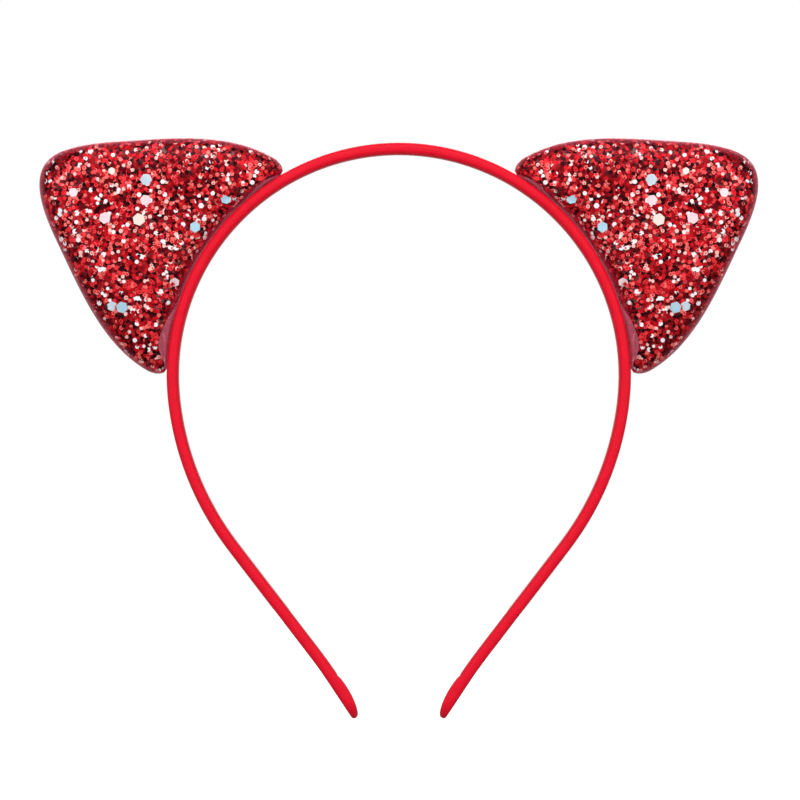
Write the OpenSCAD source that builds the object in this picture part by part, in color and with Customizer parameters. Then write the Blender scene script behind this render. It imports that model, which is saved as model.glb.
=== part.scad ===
// Animal ears headband: a satin-covered spring band with two padded glitter ears.
// Frame: +Z up, +X to the viewer's right, the front faces -Y. The origin is the
// centre of the circle that the crown of the band follows, midway front to back.

/* [Band] */
// Radius of the crown's inner face, which rests on the head
head_r = 55; // [50:0.5:62]
// Thickness of the covered band, from the head side to the outside
band_t = 3; // [2.8:0.1:3.6]
// Width of the covered band, front to back
band_w = 8; // [7:0.5:10]
// Thickness of the satin and of the lining ribbon
cloth_t = 0.3; // [0.2:0.05:0.35]
// Width of each satin hem that is folded onto the head side
hem_w = 1.8; // [1:0.1:2.4]

/* [Arms] */
// Inner radius of the bend below each ear
cheek_r = 71.5; // [62:0.5:82]
// Angle of the bend below each ear
cheek_a = 31.5; // [28:0.5:34]
// Length of the straight run below the cheek bend
run_len = 35; // [30:0.5:40]
// Outer radius of the small outward bend before the tip
flare_r = 80; // [60:5:120]
// Angle of that outward bend
flare_a = 4; // [3:0.5:6]
// Length of the wrapped tip
tip_len = 12; // [10:0.5:14]

/* [Flex] */
// Angle from the top of the crown to each upper flex line
top_flex_a = 15; // [10:1:20]
// Angle below the horizontal at which the crown ends, at each lower flex line
arm_flex_a = 6; // [4:0.5:8]
// Clear gap between two pieces of the band at a flex line
flex_gap = 0.5; // [0.3:0.1:1]

/* [Ears] */
// Angle of each ear's middle line above the horizontal
ear_lean = 30.5; // [28:0.5:34]
// Distance from the crown's centre to the tip of the ear
ear_tip = 103; // [98:0.5:108]
// Half of the ear's greatest width
ear_half_w = 31; // [29:0.5:32]
// Distance from the crown's centre to the ear's greatest width
ear_wide_at = 55; // [54:0.5:57]
// Distance from the crown's centre to the thickest point of the padding
ear_mid = 74; // [70:0.5:78]
// Half of the ear's thickness, front to back
ear_half_t = 6; // [4.5:0.25:8]
// How flat the ear's faces are: higher is flatter, with tighter edges
ear_flatness = 6; // [3:1:8]
// Half of the angle that the ear's base spans on the crown
ear_base_a = 29; // [27:0.5:29.5]

/* [Ear layers] */
// Thickness of the clear film
film_t = 0.2; // [0.15:0.05:0.3]
// Room under the film for the loose sequins
sequin_room = 0.35; // [0.3:0.05:0.5]
// Thickness of the glitter skin
skin_t = 0.5; // [0.4:0.05:0.7]
// Thickness of a sequin
sequin_t = 0.1; // [0.05:0.01:0.12]

/* [Hidden] */
$fn = 96;

half_w = band_w / 2;
wall_t = cloth_t + 0.1;             // satin and its glue along the core's edges
core_bottom = 2 * cloth_t;          // the core lies on the hems and the lining
core_top = band_t - wall_t;
core_half_w = half_w - wall_t;
seat_half_w = half_w - hem_w;       // clear width between the two hems
lining_half_w = half_w - 0.6;
edge_r = 1.2;                       // rounding of the band's outer edges
outer_r = head_r + band_t;
gap_a = flex_gap / outer_r * 180 / PI;

tip_flat = 5;                       // length of the tip before it thins out
tip_round = 14;                     // radius of the tip's head side
fold_t = 0.25;                      // how far the folded tip stands proud
tip_inset = 0.5;                    // from the end of the wrap to the end of the core
tongue_step = 0.1;                  // how much slimmer the core is inside the wrap
tongue_lead = 1;                    // length of the core's end that is let into its bar

glue_gap = 0.05;                    // thickness of the glue between two layers
base_r = outer_r + 0.12;            // the ear's base stands just clear of the band

// The colours of the materials
satin_red = [0.88, 0.05, 0.12];
lining_red = [0.72, 0.04, 0.1];
spring_red = [0.6, 0.05, 0.08];
glitter_red = [0.7, 0.05, 0.08];
film_pink = [1, 0.75, 0.8, 0.35];
sequin_white = [0.85, 0.92, 1];
foam_white = [0.95, 0.92, 0.9];

// ---- Frames ----

// The modules below draw the front view in X and Y, and this stands it up.
module upright() { rotate([90, 0, 0]) children(); }

// Draws the same piece on the viewer's left.
module on_left() { mirror([1, 0, 0]) children(); }

// ---- Band sections: X is the height above the head, Y is front to back ----

// A bar's section with both outer edges rounded by short chords.
function bar_section(low, high, half_width, corner) = concat(
    [[low, half_width], [low, -half_width]],
    [for (a = [-90:30:0])
        [high - corner, corner - half_width] + corner * [cos(a), sin(a)]],
    [for (a = [0:30:90])
        [high - corner, half_width - corner] + corner * [cos(a), sin(a)]]
);

module core_section() {
    polygon(bar_section(core_bottom, core_top, core_half_w, edge_r - wall_t));
}

module cover_section() {
    difference() {
        polygon(bar_section(cloth_t, band_t, half_w, edge_r));
        core_section();
        translate([0, -seat_half_w]) square([core_bottom + 0.1, 2 * seat_half_w]);
    }
}

module lining_section() {
    translate([0, -lining_half_w]) square([cloth_t, 2 * lining_half_w]);
    translate([0, -seat_half_w]) square([core_bottom, 2 * seat_half_w]);
}

// ---- Runs of the band: each starts at the head-side face and heads down -Y ----

module arc_run(r, a) { rotate_extrude(angle = a, $fn = 180) translate([r, 0]) children(); }

// A bend towards the head, between two angles round it.
module bend_in(r, from, to) {
    translate([-r, 0, 0]) rotate([0, 0, -to]) arc_run(r, to - from) children();
}

// The frame at the end of a bend towards the head.
module after_bend_in(r, a) {
    translate([-r, 0, 0]) rotate([0, 0, -a]) translate([r, 0, 0]) children();
}

module straight_run(length) { rotate([90, 0, 0]) linear_extrude(length) children(); }

// A bend away from the head, with its radius measured to the head side.
module bend_out(r, a) {
    translate([r, 0, 0]) rotate([0, 0, 180]) arc_run(r, a) mirror([1, 0]) children();
}

module after_bend_out(r, a) {
    translate([r, 0, 0]) rotate([0, 0, a]) translate([-r, 0, 0]) children();
}

module crown_run() {
    span = top_flex_a - gap_a / 2;
    rotate([0, 0, 90 - span]) arc_run(head_r, 2 * span) children();
}

module right_side_run() {
    rotate([0, 0, -arm_flex_a])
        arc_run(head_r, arm_flex_a + 90 - top_flex_a - gap_a / 2) children();
}

module at_arm() { rotate([0, 0, -arm_flex_a]) translate([head_r, 0, 0]) children(); }

module after_cheek() { at_arm() after_bend_in(cheek_r, cheek_a) children(); }

module after_run() { after_cheek() translate([0, -run_len, 0]) children(); }

module at_tip() { after_run() after_bend_out(flare_r, flare_a) children(); }

module right_arm_run() {
    at_arm() bend_in(cheek_r, gap_a, cheek_a) children();
    after_cheek() straight_run(run_len) children();
    after_run() bend_out(flare_r, flare_a) children();
}

// ---- Band tip ----

// A tip that is flat outside, thins out on the head side and has a round end.
module tip_solid(low, high, w, length, lead = 0) {
    intersection() {
        linear_extrude(w, center = true)
            intersection() {
                translate([low, -length]) square([high - low, length + lead]);
                union() {
                    translate([low, -tip_flat]) square([high - low, tip_flat + lead]);
                    translate([low + tip_round, -tip_flat]) circle(tip_round);
                }
            }
        union() {
            translate([low - 1, w / 2 - length, -w / 2]) cube([high - low + 2, length + lead, w]);
            translate([low - 1, w / 2 - length, 0])
                rotate([0, 90, 0]) cylinder(h = high - low + 2, r = w / 2);
        }
    }
}

// The end of the core, a little slimmer than the rest and let into it by its lead.
module core_tip(lead = 0) {
    tip_solid(core_bottom + tongue_step, core_top - tongue_step,
        2 * (core_half_w - tongue_step), tip_len - tip_inset, lead);
}

module right_tip() {
    at_tip() difference() {
        tip_solid(-fold_t, band_t, band_w, tip_len);
        core_tip();
    }
}

// ---- Ear outline: X across the ear, Y outwards from the crown's centre ----

function bezier(a, b, c, d, t) =
    a * pow(1 - t, 3) + 3 * b * t * pow(1 - t, 2) + 3 * c * t * t * (1 - t) + d * pow(t, 3);

function sample(a, b, c, d, count) = [for (i = [0:count - 1]) bezier(a, b, c, d, i / count)];

base_count = 5;                     // steps along half of the base
corner_count = 3;                   // steps round a base corner
side_count = 5;                     // steps along each half of a side

base_end = base_r * [sin(ear_base_a), cos(ear_base_a)];
shoulder = [ear_half_w, ear_wide_at];
flank = [0.475 * ear_half_w, ear_tip - 12.5];
flank_dir = [sin(34), -cos(34)];
tip_point = [0, ear_tip];

half_outline = concat(
    [for (i = [0:base_count - 1])
        base_r * [sin(ear_base_a * i / base_count), cos(ear_base_a * i / base_count)]],
    sample(base_end, base_end + 1.5 * [cos(ear_base_a), -sin(ear_base_a)],
        shoulder - [0, 2.6], shoulder, corner_count),
    sample(shoulder, shoulder + [0, 13], flank + 12.8 * flank_dir, flank, side_count),
    sample(flank, flank - 6.6 * flank_dir, tip_point + [5.8, 0], tip_point, side_count)
);
ear_outline = concat(
    half_outline, [tip_point],
    [for (i = [len(half_outline) - 1:-1:1]) [-half_outline[i][0], half_outline[i][1]]]
);
around = len(ear_outline);

// The outline moved inwards, each point along the outline's own normal there.
function inset(d) = [for (i = [0:around - 1])
    let (along = ear_outline[(i + 1) % around] - ear_outline[(i + around - 1) % around])
    ear_outline[i] - d * [along[1], -along[0]] / norm(along)];

// ---- Padded surfaces: rings that shrink to the middle as the surface rises ----

rings = 8;
ring_crowd = 1.6;                   // how much closer the rings lie near the middle
centre = [0, ear_mid];
function ring_turn(k) = 90 * pow(k / rings, ring_crowd);
function ring_scale(k) = pow(sin(ring_turn(k)), 2 / ear_flatness);
function ring_height(k, top) = top * cos(ring_turn(k));

// Points of a half pad: the middle first, then each ring out to the rim.
function pad_points(line, top) = concat(
    [[centre[0], centre[1], top]],
    [for (k = [1:rings]) for (p = line)
        let (q = centre + ring_scale(k) * (p - centre))
        [q[0], q[1], ring_height(k, top)]]);

function ring_at(k, i) = 1 + (k - 1) * around + i % around;

pad_faces = concat(
    [for (i = [0:around - 1]) [0, ring_at(1, i + 1), ring_at(1, i)]],
    [for (k = [1:rings - 1]) for (i = [0:around - 1]) for (half = [0, 1])
        half == 0 ? [ring_at(k, i), ring_at(k, i + 1), ring_at(k + 1, i + 1)]
                  : [ring_at(k, i), ring_at(k + 1, i + 1), ring_at(k + 1, i)]]);

function flipped(faces, shift) = [for (f = faces) [f[2] + shift, f[1] + shift, f[0] + shift]];

// A half shell between two padded surfaces, closed by a flat rim at mid-thickness.
module half_shell(outer_inset, inner_inset) {
    outer = pad_points(inset(outer_inset), ear_half_t - outer_inset);
    inner = pad_points(inset(inner_inset), ear_half_t - inner_inset);
    shift = len(outer);
    rim = [for (i = [0:around - 1]) for (half = [0, 1])
        half == 0 ? [ring_at(rings, i), ring_at(rings, i + 1), ring_at(rings, i + 1) + shift]
                  : [ring_at(rings, i), ring_at(rings, i + 1) + shift, ring_at(rings, i) + shift]];
    polyhedron(concat(outer, inner), concat(pad_faces, flipped(pad_faces, shift), rim));
}

// A whole pad, front and back, closed along its rim.
module whole_pad(pad_inset) {
    front = pad_points(inset(pad_inset), ear_half_t - pad_inset);
    back = [for (p = front) [p[0], p[1], -p[2]]];
    shift = len(front);
    rim_start = ring_at(rings, 0);
    faces = flipped(pad_faces, 0);
    back_faces = [for (f = faces) [for (v = f) v >= rim_start ? v : v + shift]];
    polyhedron(concat(front, back), concat(pad_faces, back_faces));
}

module at_right_ear() { rotate([0, 0, ear_lean - 90]) children(); }

film_inset = film_t;
skin_top = film_inset + sequin_room;
skin_bottom = skin_top + skin_t;

module back_of() { mirror([0, 0, 1]) children(); }

module glitter_skin() { at_right_ear() half_shell(skin_top, skin_bottom); }

module clear_film() { at_right_ear() half_shell(0, film_inset); }

module foam_pad() { at_right_ear() whole_pad(skin_bottom + glue_gap); }

// ---- Sequins: [across the ear, outwards from the crown's centre, radius] ----

front_sequins = [
    [-10, 79, 1.5], [-5.5, 76.5, 1.4], [-0.5, 75.5, 1.6], [3.5, 83, 1.5], [-16, 59.5, 1.4],
    [-6, 62.5, 1.4], [2, 93, 1.2], [20.5, 68, 1.5], [8.5, 60, 1.3], [-7.5, 87.5, 1.2]
];
back_sequins = [
    [6, 88, 1.5], [12, 72, 1.4], [19, 62, 1.5], [-5, 80, 1.5],
    [-16, 66, 1.4], [-8, 63, 1.5], [6, 64, 1.3], [-2, 92, 1.2]
];
sequin_inset = film_inset + 0.6 * sequin_room;
sequin_line = inset(sequin_inset);
sequin_top = ear_half_t - sequin_inset;

// The stretch of the outline beyond a spot: its two ends, seen from the middle.
function beyond(spot) = [for (i = [0:around - 1])
    let (a = sequin_line[i] - centre, b = sequin_line[(i + 1) % around] - centre)
    if (cross(spot, b) * cross(a, b) >= 0 && cross(a, spot) * cross(a, b) > 0) [a, b]][0];

// Lays a sequin on the facet of the padded surface at its place.
module sequin(place) {
    spot = [place[0], place[1]] - centre;
    ends = beyond(spot);
    edge = ends[1] - ends[0];
    reach = cross(ends[0], ends[1]) / norm(edge);
    part = (cross(spot, ends[1]) + cross(ends[0], spot)) / cross(ends[0], ends[1]);
    k = floor(rings * pow(asin(pow(part, ear_flatness / 2)) / 90, 1 / ring_crowd));
    fall = (ring_height(k, sequin_top) - ring_height(k + 1, sequin_top))
        / (ring_scale(k + 1) - ring_scale(k));
    height = ring_height(k, sequin_top) - fall * (part - ring_scale(k));
    translate([place[0], place[1], height])
        rotate([0, 0, atan2(-edge[0], edge[1])]) rotate([0, atan(fall / abs(reach)), 0])
            cylinder(h = sequin_t, r = place[2], center = true, $fn = 6);
}

module sequins() {
    at_right_ear() {
        for (place = front_sequins) sequin(place);
        back_of() for (place = back_sequins) sequin(place);
    }
}

// ---- Glue bead: clear glue in the corner between the ear's base and the band ----

glue_steps = base_count;            // steps each way from the middle of the base
glue_line = inset(-glue_gap);
glue_foot_r = (outer_r + glue_gap / 2) / cos(ear_base_a / base_count / 2);

// Section of the bead at one step along the base, going round it.
function glue_section(step) =
    let (p = glue_line[(step + around) % around],
         low = centre + ring_scale(rings - 1) * (p - centre),
         high = centre + ring_scale(rings - 2) * (p - centre),
         foot = glue_foot_r / norm(p) * p,
         top = ear_half_t + glue_gap)
    [[foot[0], foot[1], 0.8],
     [low[0], low[1], ring_height(rings - 1, top)],
     [high[0], high[1], ring_height(rings - 2, top)],
     [foot[0], foot[1], half_w - edge_r + 0.2]];

module glue_half() {
    count = 2 * glue_steps + 1;
    points = [for (step = [-glue_steps:glue_steps]) for (p = glue_section(step)) p];
    sides = [for (i = [0:count - 2]) for (j = [0:3]) for (half = [0, 1])
        let (a = 4 * i + j, b = 4 * i + (j + 1) % 4)
        half == 0 ? [a, b, b + 4] : [a, b + 4, a + 4]];
    end = 4 * (count - 1);
    caps = [[2, 1, 0], [3, 2, 0], [end, end + 1, end + 2], [end, end + 2, end + 3]];
    polyhedron(points, concat(sides, caps));
}

module glue_bead() { at_right_ear() { glue_half(); back_of() glue_half(); } }

// ---- Nodes ----

module crown_core() { color(spring_red) upright() crown_run() core_section(); }
module crown_satin_cover() { color(satin_red) upright() crown_run() cover_section(); }
module crown_lining_ribbon() { color(lining_red) upright() crown_run() lining_section(); }

module right_side_core() { color(spring_red) upright() right_side_run() core_section(); }
module right_side_satin_cover() { color(satin_red) upright() right_side_run() cover_section(); }
module right_side_lining_ribbon() {
    color(lining_red) upright() right_side_run() lining_section();
}

module right_ear_foam_pad() { color(foam_white) upright() foam_pad(); }
module right_ear_front_glitter_skin() { color(glitter_red) upright() glitter_skin(); }
module right_ear_back_glitter_skin() { color(glitter_red) upright() back_of() glitter_skin(); }
module right_ear_front_clear_film() { color(film_pink) upright() clear_film(); }
module right_ear_back_clear_film() { color(film_pink) upright() back_of() clear_film(); }
module right_ear_sequins() { color(sequin_white) upright() sequins(); }
module right_ear_glue_bead() { color(film_pink) upright() glue_bead(); }

module right_arm_core() {
    color(spring_red) upright() {
        right_arm_run() core_section();
        at_tip() core_tip(tongue_lead);
    }
}
module right_arm_satin_cover() { color(satin_red) upright() right_arm_run() cover_section(); }
module right_arm_lining_ribbon() {
    color(lining_red) upright() right_arm_run() lining_section();
}
module right_tip_wrap() { color(satin_red) upright() right_tip(); }

module left_side_core() { on_left() right_side_core(); }
module left_side_satin_cover() { on_left() right_side_satin_cover(); }
module left_side_lining_ribbon() { on_left() right_side_lining_ribbon(); }
module left_ear_foam_pad() { on_left() right_ear_foam_pad(); }
module left_ear_front_glitter_skin() { on_left() right_ear_front_glitter_skin(); }
module left_ear_back_glitter_skin() { on_left() right_ear_back_glitter_skin(); }
module left_ear_front_clear_film() { on_left() right_ear_front_clear_film(); }
module left_ear_back_clear_film() { on_left() right_ear_back_clear_film(); }
module left_ear_sequins() { on_left() right_ear_sequins(); }
module left_ear_glue_bead() { on_left() right_ear_glue_bead(); }
module left_arm_core() { on_left() right_arm_core(); }
module left_arm_satin_cover() { on_left() right_arm_satin_cover(); }
module left_arm_lining_ribbon() { on_left() right_arm_lining_ribbon(); }
module left_tip_wrap() { on_left() right_tip_wrap(); }

crown_core();
crown_satin_cover();
crown_lining_ribbon();
right_side_core();
right_side_satin_cover();
right_side_lining_ribbon();
right_ear_foam_pad();
right_ear_front_glitter_skin();
right_ear_back_glitter_skin();
right_ear_front_clear_film();
right_ear_back_clear_film();
right_ear_sequins();
right_ear_glue_bead();
right_arm_core();
right_arm_satin_cover();
right_arm_lining_ribbon();
right_tip_wrap();
left_side_core();
left_side_satin_cover();
left_side_lining_ribbon();
left_ear_foam_pad();
left_ear_front_glitter_skin();
left_ear_back_glitter_skin();
left_ear_front_clear_film();
left_ear_back_clear_film();
left_ear_sequins();
left_ear_glue_bead();
left_arm_core();
left_arm_satin_cover();
left_arm_lining_ribbon();
left_tip_wrap();
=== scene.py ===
"""An animal ears headband: a satin-covered spring band with two padded glitter ears.

Everything is in metres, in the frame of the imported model: X to the viewer's right, Y to the
back and Z up, with the origin at the centre of the circle that the crown follows. Shapes are
worked out in millimetres, as whole numpy arrays, and turned into metres as they become meshes.
"""

import logging
import math
from dataclasses import dataclass, field
from enum import Enum

import bpy
import numpy as np
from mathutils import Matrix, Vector


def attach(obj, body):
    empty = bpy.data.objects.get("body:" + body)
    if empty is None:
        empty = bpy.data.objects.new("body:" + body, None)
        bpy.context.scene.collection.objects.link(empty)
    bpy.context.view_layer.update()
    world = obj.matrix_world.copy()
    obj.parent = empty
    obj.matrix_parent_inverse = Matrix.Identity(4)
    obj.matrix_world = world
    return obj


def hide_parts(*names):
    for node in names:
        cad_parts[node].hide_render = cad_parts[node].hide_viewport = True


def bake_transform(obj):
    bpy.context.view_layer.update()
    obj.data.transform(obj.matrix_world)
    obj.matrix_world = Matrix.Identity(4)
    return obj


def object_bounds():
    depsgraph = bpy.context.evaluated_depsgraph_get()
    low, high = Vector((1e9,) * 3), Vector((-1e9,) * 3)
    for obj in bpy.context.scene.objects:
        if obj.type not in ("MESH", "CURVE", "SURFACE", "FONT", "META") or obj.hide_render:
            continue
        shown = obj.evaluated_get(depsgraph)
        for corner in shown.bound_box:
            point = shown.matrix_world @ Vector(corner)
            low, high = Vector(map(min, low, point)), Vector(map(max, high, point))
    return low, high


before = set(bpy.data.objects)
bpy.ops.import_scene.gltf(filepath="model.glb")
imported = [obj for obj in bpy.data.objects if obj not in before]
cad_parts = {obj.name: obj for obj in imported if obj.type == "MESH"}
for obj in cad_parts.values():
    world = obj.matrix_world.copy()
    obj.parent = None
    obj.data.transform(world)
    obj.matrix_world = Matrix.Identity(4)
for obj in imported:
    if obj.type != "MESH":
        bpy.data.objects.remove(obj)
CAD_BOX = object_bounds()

logging.basicConfig(level=logging.INFO, format="%(message)s")
LOG = logging.getLogger("headband")

MM = 0.001
# The angle of the crown's top from the X axis, in degrees.
TOP_OF_CROWN = 90.0
# The angles in degrees past which an edge stays sharp: on soft pieces, on thin film and
# cloth shells, and on flat plates.
SOFT_EDGE = 40.0
SMOOTH_EDGE = 60.0
PLATE_EDGE = 20.0


class Side(Enum):
    """The viewer's right or left half of the headband."""

    RIGHT = 1
    LEFT = -1

    @property
    def label(self) -> str:
        """The word that starts the names of this side's pieces."""
        return self.name.lower()


class Face(Enum):
    """The front or back face of an ear, and which way it faces along -Y."""

    FRONT = 1
    BACK = -1

    @property
    def label(self) -> str:
        """The word for this face in the names of pieces."""
        return self.name.lower()


# ---- Meshes from arrays ----


def linked(name: str, data: bpy.types.ID) -> bpy.types.Object:
    """Makes an object at the origin and links it into the scene.

    Args:
        name: The object's name.
        data: Its mesh, camera or light.

    Returns:
        The new object.
    """
    thing = bpy.data.objects.new(name, data)
    bpy.context.scene.collection.objects.link(thing)
    return thing


def unit(vectors: np.ndarray) -> np.ndarray:
    """Rows of vectors, each divided by its own length."""
    return vectors / np.linalg.norm(vectors, axis=1, keepdims=True)


def running(steps: np.ndarray) -> np.ndarray:
    """The running sum of the steps, from 0."""
    return np.concatenate([[0], np.cumsum(steps)])


def spacing(points: np.ndarray) -> np.ndarray:
    """The distance from each point to the next."""
    return np.linalg.norm(np.diff(points, axis=0), axis=1)


@dataclass
class Surface:
    """A mesh held as arrays: points in millimetres, and faces as runs of corners."""

    points: np.ndarray
    corners: np.ndarray
    sizes: np.ndarray
    uv: np.ndarray | None = None
    slots: np.ndarray | None = None

    def mirrored(self, side: Side) -> "Surface":
        """This surface, or for the left side its mirror image with the faces turned back.

        Args:
            side: The half of the headband that the surface is for.

        Returns:
            A surface whose faces still point outwards.
        """
        if side is Side.RIGHT:
            return self
        starts = np.repeat(np.cumsum(self.sizes) - self.sizes, self.sizes)
        spans = np.repeat(self.sizes, self.sizes)
        within = np.arange(len(self.corners)) - starts
        order = starts + spans - 1 - within
        uv = None if self.uv is None else self.uv[order]
        flipped = self.points * np.array([-1.0, 1.0, 1.0])
        return Surface(flipped, self.corners[order], self.sizes, uv, self.slots)

    def to_object(self, name: str, finishes: list[bpy.types.Material],
                  sharp_above: float = SOFT_EDGE) -> bpy.types.Object:
        """Makes the mesh object, smooth except at edges sharper than a given angle.

        Args:
            name: The piece's name.
            finishes: Its materials, in the order of the slots.
            sharp_above: The angle in degrees past which an edge stays sharp.

        Returns:
            The new object, at the origin.
        """
        mesh = bpy.data.meshes.new(name)
        mesh.vertices.add(len(self.points))
        mesh.vertices.foreach_set("co", (self.points * MM).astype(np.float32).ravel())
        mesh.loops.add(len(self.corners))
        mesh.loops.foreach_set("vertex_index", self.corners.astype(np.int32))
        mesh.polygons.add(len(self.sizes))
        mesh.polygons.foreach_set("loop_start", (np.cumsum(self.sizes) - self.sizes).astype(np.int32))
        if self.slots is not None:
            mesh.polygons.foreach_set("material_index", self.slots.astype(np.int32))
        mesh.polygons.foreach_set("use_smooth", np.ones(len(self.sizes), bool))
        if self.uv is not None:
            layer = mesh.uv_layers.new(name="UVMap")
            layer.data.foreach_set("uv", self.uv.astype(np.float32).ravel())
        for finish in finishes:
            mesh.materials.append(finish)
        mesh.update(calc_edges=True)
        mesh.set_sharp_from_angle(angle=math.radians(sharp_above))
        return linked(name, mesh)

    def turned(self) -> "Surface":
        """The same surface with every face's corners in the opposite order."""
        flipped = self.mirrored(Side.LEFT)
        flipped.points = self.points
        return flipped


def joined(parts: list[Surface]) -> Surface:
    """Puts several surfaces without UV together, in order.

    Args:
        parts: The surfaces, either all with slots or all without.

    Returns:
        One surface, in which each part keeps its own points and slots.
    """
    shifts = np.cumsum([0] + [len(part.points) for part in parts[:-1]])
    slots = None
    if all(part.slots is not None for part in parts):
        slots = np.concatenate([part.slots for part in parts])
    return Surface(
        np.concatenate([part.points for part in parts]),
        np.concatenate([part.corners + shift for part, shift in zip(parts, shifts)]),
        np.concatenate([part.sizes for part in parts]), slots=slots)


def grid_quads(rows: int, columns: int) -> np.ndarray:
    """Quads between rings of points that close on themselves.

    Args:
        rows: How many rings there are.
        columns: How many points each ring has.

    Returns:
        One row of four corners for each quad; corner (i, j) is i * columns + j.
    """
    i, j = np.meshgrid(np.arange(rows - 1), np.arange(columns), indexing="ij")
    here, there = i * columns + j, i * columns + (j + 1) % columns
    return np.stack([here, there, there + columns, here + columns], axis=-1).reshape(-1, 4)


def tube(rings: np.ndarray, start_pole: np.ndarray, end_pole: np.ndarray) -> Surface:
    """Rings of points joined in order and closed to a single point at each end.

    Args:
        rings: Points as an array of rings by columns by three.
        start_pole: The point that closes the first ring.
        end_pole: The point that closes the last ring.

    Returns:
        One closed surface.
    """
    rows, columns, _ = rings.shape
    points = np.concatenate([rings.reshape(-1, 3), start_pole[None], end_pole[None]])
    quads = grid_quads(rows, columns)
    j = np.arange(columns)
    start = np.stack([np.full(columns, rows * columns), (j + 1) % columns, j], axis=-1)
    last = (rows - 1) * columns
    end = np.stack([np.full(columns, rows * columns + 1), last + j, last + (j + 1) % columns], axis=-1)
    corners = np.concatenate([quads.ravel(), start.ravel(), end.ravel()])
    sizes = np.concatenate([np.full(len(quads), 4), np.full(2 * columns, 3)])
    return Surface(points, corners, sizes)


def smoothstep(x: np.ndarray, low: float, high: float) -> np.ndarray:
    """0 below low, 1 above high, and 3t^2 - 2t^3 of the share t between them."""
    t = np.clip((x - low) / (high - low), 0.0, 1.0)
    return t * t * (3 - 2 * t)


# ---- Materials ----

# The scale of a wave texture that repeats once in each unit of its coordinates.
WAVE_SCALE = 0.314


def linear(red: float, green: float, blue: float) -> tuple[float, float, float, float]:
    """Turns a display colour into linear light, by the usual curve for screens.

    Args:
        red: Red from 0 to 255.
        green: Green from 0 to 255.
        blue: Blue from 0 to 255.

    Returns:
        The colour as linear light, with full alpha.
    """
    values = np.array([red, green, blue]) / 255
    light = np.where(values <= 0.04045, values / 12.92, ((values + 0.055) / 1.055) ** 2.4)
    return (*light.tolist(), 1.0)


class NodeTree:
    """A short way to add and join the shader nodes of a material or a world."""

    def __init__(self, owner: bpy.types.Material | bpy.types.World,
                 output: str = "ShaderNodeOutputMaterial") -> None:
        """Empties the owner's tree and adds its output.

        Args:
            owner: The new material or world.
            output: The type of its output node.
        """
        owner.use_nodes = True
        self.owner = owner
        self.owner.node_tree.nodes.clear()
        self.output = self.add(output)

    def add(self, kind: str, **settings: object) -> bpy.types.Node:
        """Adds a node and sets its properties or, by name, its inputs' values.

        Args:
            kind: The node's type.
            settings: Values by name, with _ for a space in an input's name.

        Returns:
            The new node.
        """
        node = self.owner.node_tree.nodes.new(kind)
        for key, value in settings.items():
            if hasattr(node, key):
                setattr(node, key, value)
            else:
                node.inputs[key.replace("_", " ")].default_value = value
        return node

    def principled(self, **settings: object) -> bpy.types.Node:
        """Adds a Principled shader with the given inputs."""
        return self.add("ShaderNodeBsdfPrincipled", **settings)

    def join(self, source: bpy.types.Node, out: str | int, target: bpy.types.Node,
             into: str | int) -> None:
        """Joins one node's output to another's input."""
        self.owner.node_tree.links.new(source.outputs[out], target.inputs[into])

    def on_object(self, kind: str, **settings: object) -> bpy.types.Node:
        """Adds a texture that reads Object coordinates.

        Args:
            kind: The texture node's type.
            settings: Values by name, as for add.

        Returns:
            The texture node.
        """
        texture = self.add(kind, **settings)
        self.join(self.add("ShaderNodeTexCoord"), "Object", texture, "Vector")
        return texture

    def colour(self, shader: bpy.types.Node, colours: tuple[tuple, tuple],
               source: bpy.types.Node, out: str | int = "Fac") -> None:
        """Colours a shader from one display colour to another, as a node's output grows.

        Args:
            shader: The shader to colour.
            colours: The colours where the output is 0 and where it is 1.
            source: The node that gives the output.
            out: The output.
        """
        mix = self.add("ShaderNodeMix", data_type="RGBA", A=linear(*colours[0]), B=linear(*colours[1]))
        self.join(source, out, mix, "Factor")
        self.join(mix, "Result", shader, "Base Color")

    def bump(self, target: bpy.types.Node, source: bpy.types.Node, out: str,
             strength: float, depth_mm: float) -> bpy.types.Node:
        """Bumps a shader, or another bump, by a node's output.

        Args:
            target: The node whose Normal the bump goes into.
            source: The node that gives the height.
            out: Its output.
            strength: The bump's strength.
            depth_mm: The bump's distance, in millimetres.

        Returns:
            The bump node.
        """
        node = self.add("ShaderNodeBump", Strength=strength, Distance=depth_mm * MM)
        self.join(source, out, node, "Height")
        self.join(node, 0, target, "Normal")
        return node

    def mix_shaders(self, source: bpy.types.Node, out: str, off: bpy.types.Node,
                    on: bpy.types.Node) -> bpy.types.Node:
        """Adds a mix of two shaders by a node's output.

        Args:
            source: The node that gives the output.
            out: The output.
            off: The shader where the output is 0.
            on: The shader where it is 1.

        Returns:
            The mix.
        """
        mix = self.add("ShaderNodeMixShader")
        self.join(source, out, mix, 0)
        self.join(off, 0, mix, 1)
        self.join(on, 0, mix, 2)
        return mix

    def finish(self, shader: bpy.types.Node) -> bpy.types.Material | bpy.types.World:
        """Joins the shader to the output and gives the material or world."""
        self.join(shader, 0, self.output, "Surface")
        return self.owner


def new_tree(name: str) -> NodeTree:
    """The empty tree of a new material."""
    return NodeTree(bpy.data.materials.new(name))


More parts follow.
